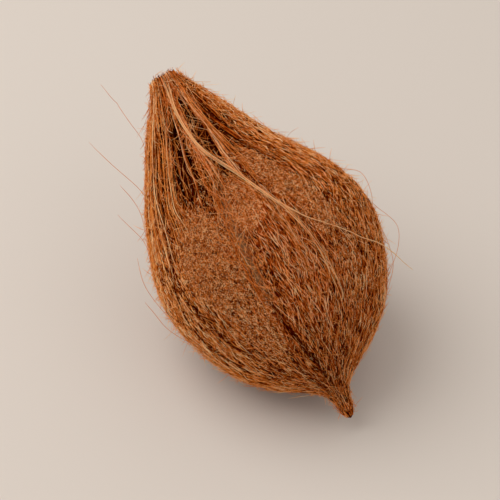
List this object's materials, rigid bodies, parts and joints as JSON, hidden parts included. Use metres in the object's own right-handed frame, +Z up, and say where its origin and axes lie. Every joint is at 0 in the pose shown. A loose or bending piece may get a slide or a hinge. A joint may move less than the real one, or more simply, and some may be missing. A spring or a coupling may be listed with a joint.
{
  "type": "coconut",
  "caption": "Whole husked coconut lying on its side, with its brown coir fibres combed into a flat-ended tuft and a small pointed tip.",
  "frame": {"origin": "middle of the flat spot that the nut rests on, below its widest part", "axes": "+Z up from the surface it rests on, +Y level towards the tuft, which the nut's axis rises to at 30 degrees, +X across the nut"},
  "size_m": [0.109, 0.1589, 0.1067],
  "materials": {
    "coir": "matte, fibrous and hairy, golden brown strands over dark reddish brown gaps"
  },
  "bodies": {
    "root": {"coconut": "coir"}
  },
  "joints": []
}
